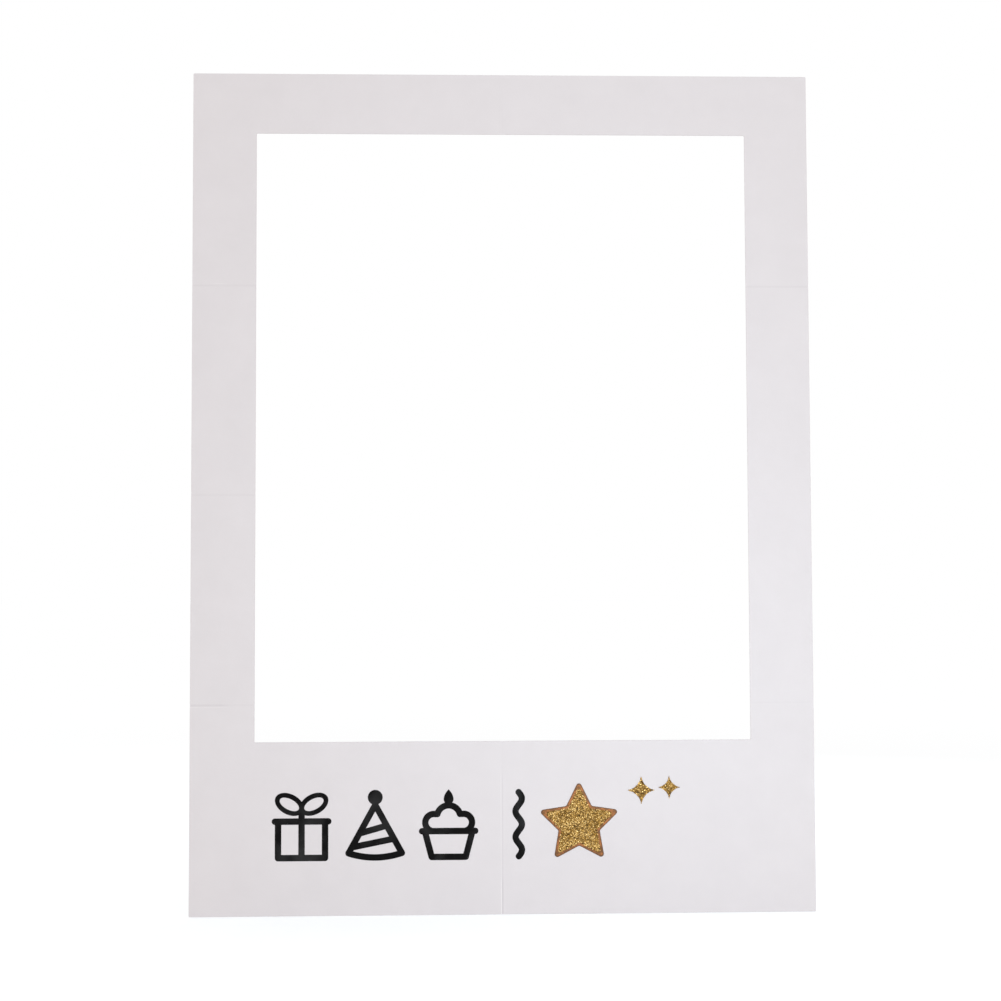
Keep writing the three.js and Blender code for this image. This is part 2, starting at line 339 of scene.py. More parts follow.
@dataclass(frozen=True)
class GlossFoil(Finish):
    """Stamped black foil: a thin gloss film that mirrors weakly, and more where it lies smoothest.

    pull is the fine unevenness that the film keeps from being pulled off its carrier.
    """

    colour: str
    roughness: float = 0.22
    uneven: float = 0.08
    pull: Pattern = Pattern(4.0, 3.0)
    pull_depth_mm: float = 0.02
    sheen: Pattern = Pattern(34.0, 2.0)
    sheen_range: Point = (0.48, 0.72)
    dull: float = 0.07
    bright: float = 0.34

    def shader(self, tree: Tree) -> Node:
        """Builds the gloss film.

        Args:
            tree: The node tree of the finish.

        Returns:
            The shader node.
        """
        pull = self.pull.build(tree)
        low, high = self.sheen_range
        limits = {"From Min": low, "From Max": high, "To Min": self.dull, "To Max": self.bright}
        mirror = add_node(tree, "ShaderNodeMapRange", {"Value": self.sheen.build(tree), **limits})
        least, most = self.roughness - self.uneven, self.roughness + self.uneven
        rough = add_node(tree, "ShaderNodeMapRange", {"Value": pull, "To Min": least, "To Max": most})
        bump = add_node(tree, "ShaderNodeBump", {"Height": pull, "Distance": self.pull_depth_mm * MM})
        values = {
            "Base Color": srgb(self.colour),
            "Roughness": rough.outputs["Result"],
            "Normal": bump.outputs["Normal"],
            "IOR": LACQUER_IOR,
            "Specular IOR Level": mirror.outputs["Result"],
        }
        return add_node(tree, "ShaderNodeBsdfPrincipled", values)


@dataclass(frozen=True)
class CopperFoil(Finish):
    """Hot-stamped copper foil, browner in patches of painted shade, dark along the border the stamp pressed.

    The mesh attribute named "pressed" is 1 on the border and 0 where the foil lies free.
    """

    bright: str
    brown: str
    pressed: str
    patches: Pattern = Pattern(5.0, 4.0)
    patch_range: Point = (0.42, 0.58)
    roughness: float = 0.38
    metallic: float = 0.9

    def shader(self, tree: Tree) -> Node:
        """Builds the metal film.

        Args:
            tree: The node tree of the finish.

        Returns:
            The shader node.
        """
        stops = list(zip(self.patch_range, (srgb(self.brown), srgb(self.bright))))
        colour = add_node(tree, "ShaderNodeValToRGB", {"Fac": self.patches.build(tree)}, stops)
        border = add_node(tree, "ShaderNodeAttribute", attribute_name="pressed").outputs["Fac"]
        values = {"Factor": border, 6: colour.outputs["Color"], 7: srgb(self.pressed)}
        both = add_node(tree, "ShaderNodeMix", values, data_type="RGBA")
        values = {"Base Color": both.outputs[2], "Roughness": self.roughness, "Metallic": self.metallic}
        return add_node(tree, "ShaderNodeBsdfPrincipled", values)


@dataclass(frozen=True)
class GlitterFlake(Finish):
    """Cut polyester glitter: flat mirror flakes, each in its own gold, dark to bright by painted reflection.

    The mesh attribute named "flake" holds one random number for each flake.
    """

    # From dark to bright: mostly painted reflection, the dark and the flash of a tilted flake, and a little
    # the flake's own gold
    golds_and_flashes: tuple[str, ...] = ("#0C0601", "#462F0C", "#886325", "#B0833A", "#F0CA86")
    roughness: float = 0.3
    metallic: float = 0.85

    def shader(self, tree: Tree) -> Node:
        """Builds the golds, with their painted reflection.

        Args:
            tree: The node tree of the finish.

        Returns:
            The shader node.
        """
        number = add_node(tree, "ShaderNodeAttribute", attribute_name="flake").outputs["Fac"]
        last = len(self.golds_and_flashes) - 1
        stops = [(i / last, srgb(shade)) for i, shade in enumerate(self.golds_and_flashes)]
        colour = add_node(tree, "ShaderNodeValToRGB", {"Fac": number}, stops).outputs["Color"]
        values = {"Base Color": colour, "Roughness": self.roughness, "Metallic": self.metallic}
        return add_node(tree, "ShaderNodeBsdfPrincipled", values)


# Light tone, dark tone and roughness of the two sides of the board
COATED = ("#EAE7EA", "#E6E3E6", 0.5)
UNCOATED = ("#ECE9E9", "#E8E5E4", 0.82)
# Places across the book crease, and how strong its painted highlight and its painted shade are there
SPINE_SCUFF_AND_HIGHLIGHT = ((0.0, 1.0), (0.12, 1.0), (0.18, 0.0), (0.36, 0.0), (0.48, 0.5), (0.8, 0.4), (1.0, 0.0))
SPINE_SHADE = ((0.12, 0.0), (0.25, 1.0), (0.4, 0.6), (0.5, 0.4), (0.8, 0.3), (1.0, 0.1))

# Clay-coated and calendered, which gives an even near-white with a wide soft shine
CARD_FACE = Card("satin_coated_board", *COATED)
# Bare pulp, which looks dry and a little rougher
CARD_BACK = Card("uncoated_board", *UNCOATED, tooth_depth_mm=0.02)
# Plies crushed by the cutting die, which draw a thin grey line round the sheet
CARD_EDGE = CutEdge("die_cut_board_edge", light="#C4BEBE", dark="#A9A2A2")
# Scored and folded, which lifts the coating a little; the pale line on it is painted highlight,
# partly rubbing, and the grey one beside it is painted shade, partly dust
ROW_CREASE_FACE = CreasedCard("row_crease_face", *COATED)
ROW_CREASE_BACK = CreasedCard("row_crease_back", *UNCOATED)
SPINE_FACE = CreasedCard("spine_crease_face", *COATED, scuff_and_highlight_band=SPINE_SCUFF_AND_HIGHLIGHT, shade=SPINE_SHADE)
SPINE_BACK = CreasedCard("spine_crease_back", *UNCOATED, scuff_and_highlight_band=SPINE_SCUFF_AND_HIGHLIGHT, shade=SPINE_SHADE)
# Hot-stamped film, which is near black with a faint uneven mirror
BLACK_FOIL = GlossFoil("stamped_black_gloss_foil", colour="#0B0A0B")
# Hot-stamped metal film: pink, with random brown patches of painted shade where it would turn from the light
COPPER_FOIL = CopperFoil("stamped_copper_foil", bright="#99623B", brown="#6C4C33", pressed="#604533")
# Resin full of gold dust, which closes the gaps between the flakes
GLITTER_BINDER = CopperFoil("gold_dusted_resin", bright="#7A5C2E", brown="#4A361A", pressed="#4A361A")
# Die-cut coated film, in which each flake flashes or goes dark by painted reflection in its colour
GLITTER_FLAKES = GlitterFlake("cut_polyester_glitter")


# Mesh tools


def finished(name: str, bm: BuiltMesh, finishes: list[Finish]) -> Piece:
    """Turns a built mesh into a piece at the origin, with its finishes in material order.

    Args:
        name: Name of the piece.
        bm: The mesh, in metres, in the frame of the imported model. It is freed.
        finishes: The finish of each material index.

    Returns:
        The new object, linked to the scene.
    """
    mesh = bpy.data.meshes.new(name)
    bm.to_mesh(mesh)
    bm.free()
    for finish in finishes:
        mesh.materials.append(finish.material())
    piece = bpy.data.objects.new(name, mesh)
    bpy.context.scene.collection.objects.link(piece)
    return piece


@dataclass
class Outline:
    """A flat closed shape in millimetres, with an optional hole."""

    outer: Loop
    hole: Loop | None = None


def round_points(centre: Loop | Point, radii: Point, start: float, end: float, steps: int) -> Loop:
    """Points along an upright ellipse from one angle to another, in degrees, both ends included."""
    angles = np.radians(np.linspace(start, end, steps + 1))
    return np.asarray(centre) + np.column_stack((radii[0] * np.cos(angles), radii[1] * np.sin(angles)))


def pen_stroke(path: Loop, width: float, cap_steps: int = 12) -> Outline:
    """The outline of a pen stroke of even width with round ends.

    Args:
        path: Points along the middle of the stroke.
        width: Its width.
        cap_steps: Steps round each end.

    Returns:
        The outline.
    """
    heading = np.gradient(path, axis=0)
    angle = np.unwrap(np.arctan2(heading[:, 1], heading[:, 0]))
    beside = width / 2 * np.column_stack((np.sin(angle), -np.cos(angle)))
    first, last = np.degrees(angle[0]), np.degrees(angle[-1])
    radii = (width / 2, width / 2)
    far_cap = round_points(path[-1], radii, last - 90, last + 90, cap_steps)
    near_cap = round_points(path[0], radii, first + 90, first + 270, cap_steps)
    sides = (path + beside)[1:-1], (path - beside)[-2:0:-1]
    return Outline(np.vstack((sides[0], far_cap, sides[1], near_cap)))


def bezier(points: Sequence[Point], steps: int) -> Loop:
    """Points along the quadratic curve that a start, a control point and an end give."""
    (start, control, end), t = np.asarray(points, float), np.linspace(0, 1, steps + 1)[:, None]
    return (1 - t) ** 2 * start + 2 * t * (1 - t) * control + t**2 * end


def rounded(corners: Loop, radius: float, steps: int = 6, sharp: tuple[int, ...] = ()) -> Loop:
    """A closed outline through corners, each rounded by an arc.

    Args:
        corners: The sharp corners, in order.
        radius: Radius of every arc.
        steps: Steps round each arc.
        sharp: Number of each corner that stays sharp.

    Returns:
        The points of the outline.
    """
    found = []
    for i, corner in enumerate(corners):
        if i in sharp:
            found.append(corner[None])
            continue
        before, after = corners[i - 1] - corner, corners[(i + 1) % len(corners)] - corner
        back, on = before / np.linalg.norm(before), after / np.linalg.norm(after)
        half = math.acos(float(np.clip(back @ on, -1, 1))) / 2
        middle = (back + on) / np.linalg.norm(back + on)
        centre = corner + middle * radius / math.sin(half)
        start = corner + back * radius / math.tan(half) - centre
        end = corner + on * radius / math.tan(half) - centre
        turn = math.pi - 2 * half
        t = np.linspace(0, turn, steps + 1)[:, None]
        found.append(centre + (start * np.sin(turn - t) + end * np.sin(t)) / math.sin(turn))
    return np.vstack(found)


def merged_shape(outlines: list[Outline], shortest: float) -> BuiltMesh:
    """Joins overlapping outlines into one flat mesh without inner borders.

    Args:
        outlines: The outlines, in millimetres.
        shortest: Points closer than this are merged.

    Returns:
        The flat mesh in the XY plane, in millimetres.
    """
    points, loops, keep = [], [], []
    for outline in outlines:
        number = len(loops)
        for loop in filter(lambda part: part is not None, (outline.outer, outline.hole)):
            loops.append(list(range(len(points), len(points) + len(loop))))
            points.extend(Vector(p) for p in loop)
        keep.append((number, number + 1 if outline.hole is not None else None))
    corners, _, faces, _, _, covers = delaunay_2d_cdt(points, [], loops, 0, SAME_POINT_MM)
    bm = bmesh.new()
    verts = [bm.verts.new((p.x, p.y, 0)) for p in corners]
    for face, inside in zip(faces, covers):
        if any(outer in inside and hole not in inside for outer, hole in keep):
            bm.faces.new([verts[i] for i in face])
    bmesh.ops.delete(bm, geom=[v for v in bm.verts if not v.link_faces], context="VERTS")
    bmesh.ops.remove_doubles(bm, verts=bm.verts, dist=shortest)
    bmesh.ops.recalc_face_normals(bm, faces=bm.faces)
    return bm


def thicken(bm: BuiltMesh, along: Place) -> None:
    """Gives a flat mesh its thickness.

    Args:
        bm: Flat mesh, changed in place.
        along: How far its second side lies from the first, along each axis.
    """
    made = bmesh.ops.extrude_face_region(bm, geom=bm.faces[:], use_keep_orig=True)
    moved = [e for e in made["geom"] if isinstance(e, Vert)]
    bmesh.ops.translate(bm, verts=moved, vec=along)
    bmesh.ops.recalc_face_normals(bm, faces=bm.faces)
    bm.normal_update()


def soften(bm: BuiltMesh, edges: list[Edge], width: float) -> None:
    """Rounds edges over a width in the mesh's own unit."""
    bmesh.ops.bevel(bm, geom=edges, offset=width, segments=2, profile=0.5, affect="EDGES")


def hand_over(piece: Piece, node: str, slot: str, body: str | None = None) -> None:
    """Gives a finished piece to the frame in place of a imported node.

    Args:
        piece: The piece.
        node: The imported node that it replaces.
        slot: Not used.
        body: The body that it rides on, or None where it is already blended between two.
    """
    if body is not None:
        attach(piece, body)
    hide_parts(node)
    log.info("%s takes the place of %s", piece.name, node)


# The card sheet


class Fold(Enum):
    """Which way a crease stands on the printed face once it is flattened again."""

    RIDGE = 1
    GROOVE = -1


class Side(IntEnum):
    """The material index of each side of the sheet."""

    FACE = 0
    BACK = 1
    EDGE = 2


@dataclass
class Panel:
    """One stiff panel of the sheet: a flat cell, or an L where it wraps a corner of the window.

    A point nearer to a line than near_mm lies on it, and one nearer to a cut of the grid than weld_mm
    is moved onto it. A face is front or back where its normal leans towards Y by more than flat.
    """

    node: str
    body: str
    grid_mm: float = 12.0
    edge_rounding_mm: float = 0.12
    corner_radius_mm: float = 1.0
    corner_steps: int = 5
    near_mm: float = 0.02
    weld_mm: float = 1e-4
    flat: float = 0.97

    def is_angle(self) -> bool:
        """Whether the panel wraps a corner of the window."""
        return self.node.startswith(("bottom", "top"))

    def outline(self) -> Loop:
        """The outline of the cell, rounded where the die cut a corner.

        Returns:
            Its points, in metres.
        """
        low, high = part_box(self.node)
        side = 1 if high.x > -low.x else -1
        inner, outer = sorted((abs(low.x), abs(high.x)))
        border, inside = (low.z, high.z) if "bottom" in self.node else (high.z, low.z)
        cell = [(inner, border), (outer, border), (outer, inside), (inner, inside)]
        sharp = (0, 1, 2, 3)
        # An L has the sheet's own corner and the window's, which the die rounded
        if self.is_angle():
            window_x = -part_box("lower_left_panel")[1].x
            sill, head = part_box("book_fold_crease_bottom")[1].z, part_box("book_fold_crease_top_left")[0].z
            window_z = sill if "bottom" in self.node else head
            cell[3:] = [(window_x, inside), (window_x, window_z), (inner, window_z)]
            sharp = (0, 2, 3, 5)
        corners = np.array([(side * x, z) for x, z in cell])
        return rounded(corners, self.corner_radius_mm * MM, self.corner_steps, sharp)

    def is_free_edge(self, edge: Edge) -> bool:
        """Whether an edge runs along the die-cut border, rather than along a crease.

        Args:
            edge: An edge of the panel's mesh.

        Returns:
            True on the border.
        """
        low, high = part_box(self.node)
        foot, head = CAD_BOX[0].z, CAD_BOX[1].z
        near = self.near_mm * MM
        middle = (edge.verts[0].co + edge.verts[1].co) / 2
        rows = [z for z in (low.z, high.z) if foot + near < z < head - near]
        on_row = any(abs(middle.z - z) < near for z in rows)
        on_book = self.is_angle() and abs(abs(middle.x) - min(abs(low.x), abs(high.x))) < near
        return not (on_row or on_book)

    def build(self) -> Piece:
        """Builds the panel.

        Returns:
            The panel.
        """
        low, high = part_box(self.node)
        bm = bmesh.new()
        bm.faces.new([bm.verts.new((x, low.y, z)) for x, z in self.outline()])
        for axis, start, end in ((0, low.x, high.x), (2, low.z, high.z)):
            count = max(1, round((end - start) / (self.grid_mm * MM)))
            for place in np.linspace(start, end, count + 1)[1:-1]:
                normal = Vector((axis == 0, 0, axis == 2))
                cut = {"plane_co": normal * place, "plane_no": normal, "dist": self.weld_mm * MM}
                bmesh.ops.bisect_plane(bm, geom=bm.verts[:] + bm.edges[:] + bm.faces[:], **cut)
        thicken(bm, (0, high.y - low.y, 0))
        sharp = [e for e in bm.edges if len({abs(f.normal.y) > SLOPE_LIMIT for f in e.link_faces}) == 2]
        soften(bm, [e for e in sharp if self.is_free_edge(e)], self.edge_rounding_mm * MM)
        bm.normal_update()
        for face in bm.faces:
            side = Side.FACE if face.normal.y < 0 else Side.BACK
            face.material_index = side if abs(face.normal.y) > self.flat else Side.EDGE
        return finished(f"{self.node}_card", bm, [CARD_FACE, CARD_BACK, CARD_EDGE])

    def dress(self) -> None:
        """Builds the panel and hands it to the frame."""
        hand_over(self.build(), self.node, "card", self.body)


@dataclass(frozen=True)
class WearAndShading:
    """How much painted highlight and painted shade a crease shows at one place along it, each from 0 to 1.
    """

    place_mm: float
    scuff_and_highlight: float
    shaded: float


@dataclass
class Crease:
    """A crease: a strip of the sheet that bends, with a low bead pressed along it.

    bead is the place of the bead across the strip, from -1 to 1, and bead_width its width there.
    bend_mm is how much of the strip bends, in its middle. pale_first puts the pale band at the upper
    border of the strip, or the left one of an upright strip.
    """

    node: str
    bodies: tuple[str, ...]
    fold: Fold
    wear_and_shading: tuple[WearAndShading, ...]
    bead: float = 0.0
    bead_width: float = 0.35
    bend_mm: float = 0.9
    pale_first: bool = True
    relief_mm: float = 0.09
    least_relief_mm: float = 0.02
    across_steps: int = 32
    along_mm: float = 3.0

    def is_upright(self) -> bool:
        """Whether the crease runs up the sheet rather than across it."""
        return self.node.startswith("book")

    def wear_and_shading_at(self, along: float) -> tuple[float, ...]:
        """How strongly the painted highlight and painted shade show at a place along the crease, in metres.
        """
        places, *kinds = zip(*((spot.place_mm * MM, spot.scuff_and_highlight, spot.shaded) for spot in self.wear_and_shading))
        return tuple(np.interp(along, places, strengths) for strengths in kinds)

    def relief(self, u: float, scuff_and_highlight: float) -> float:
        """How far the flattened crease stands off the sheet.

        Args:
            u: The place across the strip, from -1 to 1.
            scuff_and_highlight: How much painted highlight shows there.

        Returns:
            The distance along Y, in metres.
        """
        most = self.least_relief_mm + (self.relief_mm - self.least_relief_mm) * scuff_and_highlight
        bead = math.exp(-(((u - self.bead) / self.bead_width) ** 2)) * (1 - u * u)
        return -self.fold.value * most * bead * MM

    def rows(self, bm: BuiltMesh, y: float) -> list[list[Vert]]:
        """Builds the points of one side of the strip, each with its painted highlight and painted shade.

        Args:
            bm: The mesh that gets them.
            y: Where that side of the sheet lies.

        Returns:
            The points in rows across the strip, one row after another along it.
        """
        low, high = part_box(self.node)
        upright = self.is_upright()
        across = (low.x, high.x) if upright else (high.z, low.z)
        along = (low.z, high.z) if upright else (low.x, high.x)
        steps = max(2, round((along[1] - along[0]) / (self.along_mm * MM)))
        layers = [bm.verts.layers.float[name] for name in (ACROSS, *WEAR_AND_SHADING_KINDS)]
        rows = []
        for a in np.linspace(*along, steps + 1):
            wear_and_shading = self.wear_and_shading_at(a)
            rows.append([])
            for u in np.linspace(-1, 1, self.across_steps + 1):
                c = across[0] + (u + 1) / 2 * (across[1] - across[0])
                x, z = (c, a) if upright else (a, c)
                vert = bm.verts.new((x, y + self.relief(u, wear_and_shading[0]), z))
                over = (1 + u) / 2 if self.pale_first else (1 - u) / 2
                for layer, value in zip(layers, (over, *wear_and_shading)):
                    vert[layer] = value
                rows[-1].append(vert)
        return rows

    def build(self) -> Piece:
        """Builds the strip as a closed shell.

        Returns:
            The strip.
        """
        bm = bmesh.new()
        for name in (ACROSS, *WEAR_AND_SHADING_KINDS):
            bm.verts.layers.float.new(name)
        front, back = (self.rows(bm, corner.y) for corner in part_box(self.node))
        bands = [(this, other, Side.FACE) for this, other in zip(front, front[1:])]
        bands += [(this, other, Side.BACK) for this, other in zip(back, back[1:])]
        for i in (0, -1):
            bands.append((front[i], back[i], Side.EDGE))
            bands.append(([row[i] for row in front], [row[i] for row in back], Side.EDGE))
        for near, far, side in bands:
            for i in range(len(near) - 1):
                bm.faces.new((near[i], near[i + 1], far[i + 1], far[i])).material_index = side
        bmesh.ops.recalc_face_normals(bm, faces=bm.faces)
        sides = [SPINE_FACE, SPINE_BACK] if self.is_upright() else [ROW_CREASE_FACE, ROW_CREASE_BACK]
        return finished(f"{self.node}_card", bm, [*sides, CARD_EDGE])

    def dress(self) -> None:
        """Builds the crease and hands it to the frame, bending between its two bodies."""
        piece = self.build()
        low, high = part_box(self.node)
        middle = (low + high) / 2
        half = self.bend_mm / 2 * MM
        across = Vector((-half, 0, 0)) if self.is_upright() else Vector((0, 0, half))
        if len(self.bodies) == 2:
            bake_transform(piece, *self.bodies, start=tuple(middle + across), end=tuple(middle - across))
            hand_over(piece, self.node, "crease")
        else:
            hand_over(piece, self.node, "crease", *self.bodies)


@dataclass
class CardSheet:
    """The whole sheet: eight panels and the creases between them.

    The painted highlight and painted shade of each crease are uneven, as on a sheet that has been
    folded and pressed flat again: they show most at the outer border.
    """

    # Each entry: place along the crease in millimetres, then its painted highlight and its painted shade
    # there
    row_wear_and_shading: dict[str, tuple[WearAndShading, ...]] = field(
        default_factory=lambda: {
            "upper_left": (
                WearAndShading(-278, 0, 0.15), WearAndShading(-275, 0.25, 0.12), WearAndShading(-265, 0.25, 0.12), WearAndShading(-261, 0, 0.13)
            ),
            "middle_left": (WearAndShading(-295, 0.0, 0.13),),
            "lower_left": (WearAndShading(-266, 0.33, 0.3), WearAndShading(-256, 0.0, 0.1)),
            "upper_right": (WearAndShading(295, 0.0, 0.18),),
            "middle_right": (WearAndShading(295, 0.0, 0.02),),
            "lower_right": (WearAndShading(295, 0.0, 0.06),),
        }
    )
    top_wear_and_shading: tuple[WearAndShading, ...] = (WearAndShading(800, 0.0, 0.05),)
    spine_wear_and_shading: tuple[WearAndShading, ...] = (
        WearAndShading(28, 1.0, 0.62), WearAndShading(36, 0.4, 0.28), WearAndShading(125, 0.5, 0.3), WearAndShading(133, 0.0, 0.08)
    )

    def dress(self) -> None:
        """Builds every panel and crease."""
        for side in ("left", "right"):
            for row in ("bottom", "lower", "upper", "top"):
                Panel(f"{row}_{side}_panel", f"{row}_{side}").dress()
            for name, above, below, fold in (
                ("upper", "top", "upper", Fold.RIDGE),
                ("middle", "upper", "lower", Fold.GROOVE),
                ("lower", "lower", "bottom", Fold.GROOVE),
            ):
                bodies, wear_and_shading = (f"{above}_{side}", f"{below}_{side}"), self.row_wear_and_shading[f"{name}_{side}"]
                pale_first = name != "lower"
                Crease(f"{name}_fold_crease_{side}", bodies, fold, wear_and_shading, pale_first=pale_first).dress()
            Crease(f"book_fold_crease_top_{side}", (f"top_{side}",), Fold.RIDGE, self.top_wear_and_shading).dress()
        spine, halves = "book_fold_crease_bottom", ("bottom_left", "bottom_right")
        Crease(spine, halves, Fold.RIDGE, self.spine_wear_and_shading, bead=-0.5, bead_width=0.2, bend_mm=6.0).dress()


# The motifs


@dataclass(frozen=True)
class FlakeScatter:
    """Scatters glitter flakes over the front of a layer, as a geometry node tree.

    Real flakes are about 0.4 mm wide, and are drawn larger so that each one still shows. cover is
    their area as a share of the area under them, tilt their lean in radians, and scales their least
    and greatest size. A face is front where its normal along Y is below front_limit.
    """

    flake_mm: float = 1.0
    flake_thickness_mm: float = 0.05
    cover: float = 2.1
    tilt: float = 0.27
    scales: Point = (0.6, 1.15)
    sides: int = 6
    front_limit: float = -0.9

    def tree(self) -> Tree:
        """The node tree, made the first time that it is asked for.

        Returns:
            The tree.
        """
        name = "glitter_scatter"
        if name in bpy.data.node_groups:
            return bpy.data.node_groups[name]
        tree = bpy.data.node_groups.new(name, "GeometryNodeTree")
        for label, kind in (
            ("Geometry", "NodeSocketGeometry"),
            ("Flake Radius", "NodeSocketFloat"),
            ("Flake Thickness", "NodeSocketFloat"),
            ("Density", "NodeSocketFloat"),
            ("Seed", "NodeSocketInt"),
            ("Flake Finish", "NodeSocketMaterial"),
        ):
            tree.interface.new_socket(label, in_out="INPUT", socket_type=kind)
        tree.interface.new_socket("Geometry", in_out="OUTPUT", socket_type="NodeSocketGeometry")
        given = add_node(tree, "NodeGroupInput").outputs
        seed = {"Seed": given["Seed"]}
        normal = add_node(tree, "GeometryNodeInputNormal").outputs["Normal"]
        facing = add_node(tree, "ShaderNodeSeparateXYZ", {"Vector": normal}).outputs["Y"]
        values = {"A": facing, "B": self.front_limit}
        front = add_node(tree, "FunctionNodeCompare", values, operation="LESS_THAN")
        values = {"Mesh": given["Geometry"], "Selection": front.outputs[0], "Density": given["Density"]}
        points = add_node(tree, "GeometryNodeDistributePointsOnFaces", values | seed).outputs
        radius, depth = given["Flake Radius"], given["Flake Thickness"]
        values = {"Vertices": self.sides, "Radius": radius, "Depth": depth}
        flake = add_node(tree, "GeometryNodeMeshCylinder", values).outputs["Mesh"]
        values = {0: (-self.tilt, -self.tilt, 0.0), 1: (self.tilt, self.tilt, 2 * math.pi)}
        turn = add_node(tree, "FunctionNodeRandomValue", values | seed, data_type="FLOAT_VECTOR")
        values = {"Rotation": points["Rotation"], "Rotate By": turn.outputs[0]}
        lean = add_node(tree, "FunctionNodeRotateRotation", values, rotation_space="LOCAL").outputs[0]
        # A random size, and a random number that picks each flake's gold and its painted reflection
        size, shade = (
            add_node(tree, "FunctionNodeRandomValue", {2: low, 3: high} | seed).outputs[1]
            for low, high in (self.scales, (0.0, 1.0))
        )
        values = {"Points": points["Points"], "Instance": flake, "Rotation": lean, "Scale": size}
        placed = add_node(tree, "GeometryNodeInstanceOnPoints", values).outputs[0]
        values = {"Geometry": placed, "Name": "flake", "Value": shade}
        marked = add_node(tree, "GeometryNodeStoreNamedAttribute", values, domain="INSTANCE").outputs[0]
        real = add_node(tree, "GeometryNodeRealizeInstances", {"Geometry": marked}).outputs[0]
        values = {"Geometry": real, "Material": given["Flake Finish"]}
        dressed = add_node(tree, "GeometryNodeSetMaterial", values).outputs[0]
        both = add_node(tree, "GeometryNodeJoinGeometry", {"Geometry": given["Geometry"]})
        tree.links.new(dressed, both.inputs["Geometry"])
        add_node(tree, "NodeGroupOutput", {"Geometry": both.outputs[0]})
        return tree

    def apply(self, piece: Piece, seed: int) -> None:
        """Covers a piece's front with flakes and keeps the result as its plain mesh.

        Args:
            piece: The layer that carries the flakes.
            seed: Number that fixes the random places.
        """
        tree = self.tree()
        radius = self.flake_mm / 2 * MM
        area = self.sides / 2 * math.sin(2 * math.pi / self.sides) * radius**2
        values = {
            "Flake Radius": radius,
            "Flake Thickness": self.flake_thickness_mm * MM,
            "Density": self.cover / area,
            "Seed": seed,
            "Flake Finish": GLITTER_FLAKES.material(),
        }
        modifier = piece.modifiers.new("glitter", "NODES")
        modifier.node_group = tree
        for socket in tree.interface.items_tree:
            if socket.in_out == "INPUT" and socket.name in values:
                modifier[socket.identifier] = values[socket.name]
        graph = bpy.context.evaluated_depsgraph_get()
        covered = bpy.data.meshes.new_from_object(
            piece.evaluated_get(graph), preserve_all_data_layers=True, depsgraph=graph
        )
        piece.modifiers.clear()
        piece.data = covered


@dataclass
class Printed(ABC):
    """A layer on the printed face, drawn lying flat in millimetres about an origin of its own.

    The name of its piece is the node's and an ending. flakes covers its front with glitter.
    """

    node: str
    body: str = "bottom_right"
    slot: str = "gold_glitter"
    ending: str = "layer"
    finish: Finish = GLITTER_BINDER
    shortest_mm: float = 0.05
    thickness_mm: float = 0.15
    rounding_mm: float = 0.05
    off_face_mm: float = 0.0
    above_base_mm: float = 0.0
    flakes: FlakeScatter | None = None
    seed: int = 0

    @abstractmethod
    def shape(self) -> BuiltMesh:
        """Draws the layer as a flat mesh."""

    def origin_height(self) -> float:
        """The height of the layer's origin, in metres, from the line that the motifs stand on."""
        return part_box("cupcake_motif")[0].z + self.above_base_mm * MM

    def build(self) -> Piece:
        """Builds the layer on the printed face, above the middle of its node.

        Returns:
            The layer.
        """
        bm = self.shape()
        if sum(f.normal.z for f in bm.faces) < 0:
            bmesh.ops.reverse_faces(bm, faces=bm.faces)
        thicken(bm, (0, 0, self.thickness_mm))
        if self.rounding_mm:
            upper = [e for e in bm.edges if min(v.co.z for v in e.verts) > self.thickness_mm / 2]
            rim = [e for e in upper if min(abs(f.normal.z) for f in e.link_faces) < SLOPE_LIMIT]
            soften(bm, rim, self.rounding_mm)
        low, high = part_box(self.node)
        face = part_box("bottom_left_panel")[0].y - self.off_face_mm * MM
        place = Matrix.Translation(((low.x + high.x) / 2, face, self.origin_height()))
        turn = Matrix.Rotation(math.pi / 2, 4, "X")
        bmesh.ops.transform(bm, matrix=place @ turn @ Matrix.Scale(MM, 4), verts=bm.verts)
        piece = finished(f"{self.node}_{self.ending}", bm, [self.finish])
        if self.flakes is not None:
            self.flakes.apply(piece, self.seed)
        return piece

    def dress(self) -> None:
        """Builds the layer and hands it to the frame."""
        hand_over(self.build(), self.node, self.slot, self.body)


@dataclass
class FoilMotif(Printed):
    """A black foil picture made of pen strokes, drawn about the middle of its own base line.

    end_short is how far a stroke stops before the middle of the stroke that it joins.
    """

    slot: str = "black_foil"
    ending: str = "foil"
    finish: Finish = BLACK_FOIL
    shortest_mm: float = 0.08
    stroke: float = 6.0
    end_short: float = 1.5
    height: float = 66.0
    width: float = 56.0

    @abstractmethod
    def outlines(self) -> list[Outline]:
        """The strokes and shapes of the picture, in millimetres."""

    def line(self, start: Point, end: Point) -> Outline:
        """A straight stroke between two points."""
        return pen_stroke(np.linspace(start, end, LINE_POINTS), self.stroke)

    def shape(self) -> BuiltMesh:
        """Draws the picture as a flat mesh."""
        return merged_shape(self.outlines(), self.shortest_mm)


